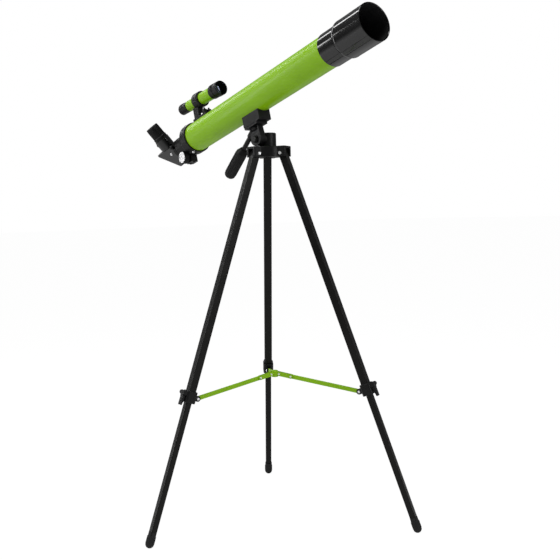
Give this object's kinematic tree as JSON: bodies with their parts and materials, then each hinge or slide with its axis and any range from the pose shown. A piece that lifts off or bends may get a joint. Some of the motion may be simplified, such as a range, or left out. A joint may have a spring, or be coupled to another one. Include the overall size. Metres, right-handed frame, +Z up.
{
  "type": "telescope on tripod",
  "caption": "Small refracting telescope with a finder and a star diagonal, on a folding field tripod with a spreader brace, telescoping legs and a tilting pan head.",
  "frame": {"origin": "middle of the outline's box, on the floor that the three feet stand on", "axes": "+Z up; at rest the telescope looks along +X and 14.7 degrees upwards; its left side is +Y"},
  "size_m": [0.5786, 0.3862, 0.7937],
  "materials": {
    "green_paint": "glossy lime-green paint",
    "gloss_black": "glossy black",
    "black_plastic": "satin black moulded plastic",
    "grip_plastic": "matt black grip",
    "leg_black": "satin black anodised tube",
    "foot_rubber": "dark grey rubber",
    "bright_steel": "polished, nickel-plated",
    "plain_steel": "plain turned steel",
    "lens_glass": "coated optical glass",
    "mirror_glass": "front-silvered flat mirror"
  },
  "bodies": {
    "crown": {"leg_crown": "black_plastic", "leg_pins": "bright_steel", "pan_bolt": "plain_steel"},
    "pan": {"pan_post": "black_plastic", "tilt_bolt": "leg_black"},
    "tilt": {"tilt_arm": "black_plastic", "saddle_block": "black_plastic", "main_tube": "green_paint", "objective_cell": "gloss_black", "lens_ring": "black_plastic", "crown_lens": "lens_glass", "flint_lens": "lens_glass", "tube_baffles": "black_plastic", "focuser_body": "black_plastic", "focuser_screws": "bright_steel", "pinion_cover": "black_plastic", "finder_bracket": "black_plastic", "finder_tube": "green_paint", "finder_hood": "black_plastic", "finder_lens": "lens_glass", "finder_nuts": "black_plastic"},
    "saddle_wheel": {"saddle_screw": "black_plastic"},
    "handle": {"handle_rod": "leg_black", "handle_grip": "grip_plastic"},
    "shield": {"dew_shield": "gloss_black"},
    "draw": {"draw_tube": "leg_black", "focus_rack": "black_plastic"},
    "pinion": {"focus_pinion": "plain_steel", "focus_knob": "black_plastic", "knob_disc": "bright_steel"},
    "diagonal": {"diagonal_body": "gloss_black", "diagonal_mirror": "mirror_glass"},
    "draw_screw": {"diagonal_screw": "black_plastic"},
    "eyepiece": {"eyepiece_body": "black_plastic", "eyepiece_lenses": "lens_glass"},
    "socket_screw": {"eyepiece_screw": "black_plastic"},
    "ocular": {"finder_ocular": "black_plastic"},
    "brace": {"brace_hub": "green_paint", "hub_rivets": "bright_steel"},
    "leg_a": {"upper_leg_a": "leg_black", "leg_lock_a": "black_plastic", "ear_pin_a": "bright_steel"},
    "arm_a": {"brace_arm_a": "green_paint"},
    "lever_a": {"lock_lever_a": "black_plastic"},
    "lower_a": {"lower_leg_a": "leg_black", "foot_a": "foot_rubber"},
    "leg_b": {"upper_leg_b": "leg_black", "leg_lock_b": "black_plastic", "ear_pin_b": "bright_steel"},
    "arm_b": {"brace_arm_b": "green_paint"},
    "lever_b": {"lock_lever_b": "black_plastic"},
    "lower_b": {"lower_leg_b": "leg_black", "foot_b": "foot_rubber"},
    "leg_c": {"upper_leg_c": "leg_black", "leg_lock_c": "black_plastic", "ear_pin_c": "bright_steel"},
    "arm_c": {"brace_arm_c": "green_paint"},
    "lever_c": {"lock_lever_c": "black_plastic"},
    "lower_c": {"lower_leg_c": "leg_black", "foot_c": "foot_rubber"}
  },
  "joints": [
    {"name": "leg_fold_a", "type": "hinge", "parent": "crown", "child": "leg_a", "pos_m": [0.03057, 0.06678, 0.60408], "axis": [-0.454, 0.891, 0], "range_deg": [0, 16.6]},
    {"name": "arm_swing_a", "type": "hinge", "parent": "leg_a", "child": "arm_a", "pos_m": [0.14077, 0.12292, 0.21922], "axis": [-0.454, 0.891, 0], "range_deg": [0, 62.9]},
    {"name": "lever_flip_a", "type": "hinge", "parent": "leg_a", "child": "lever_a", "pos_m": [0.16147, 0.13347, 0.2329], "axis": [0.454, -0.891, 0], "range_deg": [0, 100]},
    {"name": "lower_slide_a", "type": "slide", "parent": "leg_a", "child": "lower_a", "axis": [-0.3018, -0.1538, 0.9409], "range_m": [-0.02, 0.2]},
    {"name": "leg_fold_b", "type": "hinge", "parent": "crown", "child": "leg_b", "pos_m": [-0.01492, 0.06916, 0.60408], "axis": [-0.5446, -0.8387, 0], "range_deg": [0, 16.6]},
    {"name": "arm_swing_b", "type": "hinge", "parent": "leg_b", "child": "arm_b", "pos_m": [-0.11865, 0.13652, 0.21922], "axis": [-0.5446, -0.8387, 0], "range_deg": [0, 62.9]},
    {"name": "lever_flip_b", "type": "hinge", "parent": "leg_b", "child": "lever_b", "pos_m": [-0.13814, 0.14918, 0.2329], "axis": [0.5446, 0.8387, 0], "range_deg": [0, 100]},
    {"name": "lower_slide_b", "type": "slide", "parent": "leg_b", "child": "lower_b", "axis": [0.2841, -0.1845, 0.9409], "range_m": [-0.02, 0.2]},
    {"name": "leg_fold_c", "type": "hinge", "parent": "crown", "child": "leg_c", "pos_m": [0.00576, 0.02857, 0.60408], "axis": [0.9986, -0.0523, 0], "range_deg": [0, 16.6]},
    {"name": "arm_swing_c", "type": "hinge", "parent": "leg_c", "child": "arm_c", "pos_m": [-0.00071, -0.09494, 0.21922], "axis": [0.9986, -0.0523, 0], "range_deg": [0, 62.9]},
    {"name": "lever_flip_c", "type": "hinge", "parent": "leg_c", "child": "lever_c", "pos_m": [-0.00193, -0.11815, 0.2329], "axis": [-0.9986, 0.0523, 0], "range_deg": [0, 100]},
    {"name": "lower_slide_c", "type": "slide", "parent": "leg_c", "child": "lower_c", "axis": [0.0177, 0.3383, 0.9409], "range_m": [-0.02, 0.2]},
    {"name": "brace_rise", "type": "slide", "parent": "crown", "child": "brace", "axis": [0, 0, 1], "range_m": [0, 0.0846]},
    {"name": "pan_turn", "type": "hinge", "parent": "crown", "child": "pan", "pos_m": [0.00714, 0.05484, 0.61598], "axis": [0, 0, 1], "continuous": true},
    {"name": "tilt_swing", "type": "hinge", "parent": "pan", "child": "tilt", "pos_m": [0.00714, 0.03483, 0.62748], "axis": [0, 1, 0], "range_deg": [-30, 35]},
    {"name": "saddle_screw_turn", "type": "hinge", "parent": "tilt", "child": "saddle_wheel", "pos_m": [0.00308, 0.03483, 0.64296], "axis": [-0.2538, 0, 0.9673], "continuous": true},
    {"name": "handle_twist", "type": "hinge", "parent": "tilt", "child": "handle", "pos_m": [-0.00936, 0.03483, 0.63748], "axis": [-0.7314, 0, -0.682], "range_deg": [-90, 180]},
    {"name": "shield_pull", "type": "slide", "parent": "tilt", "child": "shield", "axis": [0.9673, 0, 0.2538], "range_m": [0, 0.045]},
    {"name": "draw_travel", "type": "slide", "parent": "tilt", "child": "draw", "axis": [-0.9673, 0, -0.2538], "range_m": [0, 0.045]},
    {"name": "pinion_turn", "type": "hinge", "parent": "tilt", "child": "pinion", "pos_m": [-0.19629, 0.03483, 0.61081], "axis": [0, -1, 0], "range_deg": [0, 431]},
    {"name": "diagonal_swivel", "type": "hinge", "parent": "draw", "child": "diagonal", "pos_m": [-0.25963, 0.03483, 0.62366], "axis": [0.9673, 0, 0.2538], "continuous": true},
    {"name": "draw_screw_turn", "type": "hinge", "parent": "draw", "child": "draw_screw", "pos_m": [-0.23158, 0.02224, 0.63102], "axis": [0, -1, 0], "continuous": true},
    {"name": "eyepiece_pull", "type": "slide", "parent": "diagonal", "child": "eyepiece", "axis": [-0.2027, -0.6018, 0.7725], "range_m": [0, 0.03]},
    {"name": "socket_screw_turn", "type": "hinge", "parent": "diagonal", "child": "socket_screw", "pos_m": [-0.27699, 0.01919, 0.64057], "axis": [-0.9673, 0, -0.2538], "continuous": true},
    {"name": "ocular_focus", "type": "slide", "parent": "tilt", "child": "ocular", "axis": [-0.981, 0, -0.1942], "range_m": [0, 0.006]}
  ],
  "couplings": [
    {"joint": "arm_swing_a", "follows": "leg_fold_a", "ratio": 3.774},
    {"joint": "leg_fold_b", "follows": "leg_fold_a", "ratio": 1},
    {"joint": "arm_swing_b", "follows": "leg_fold_a", "ratio": 3.774},
    {"joint": "leg_fold_c", "follows": "leg_fold_a", "ratio": 1},
    {"joint": "arm_swing_c", "follows": "leg_fold_a", "ratio": 3.774},
    {"joint": "brace_rise", "follows": "leg_fold_a", "m_per_rad": 0.29021},
    {"joint": "pinion_turn", "follows": "draw_travel", "rad_per_m": 166.67}
  ]
}
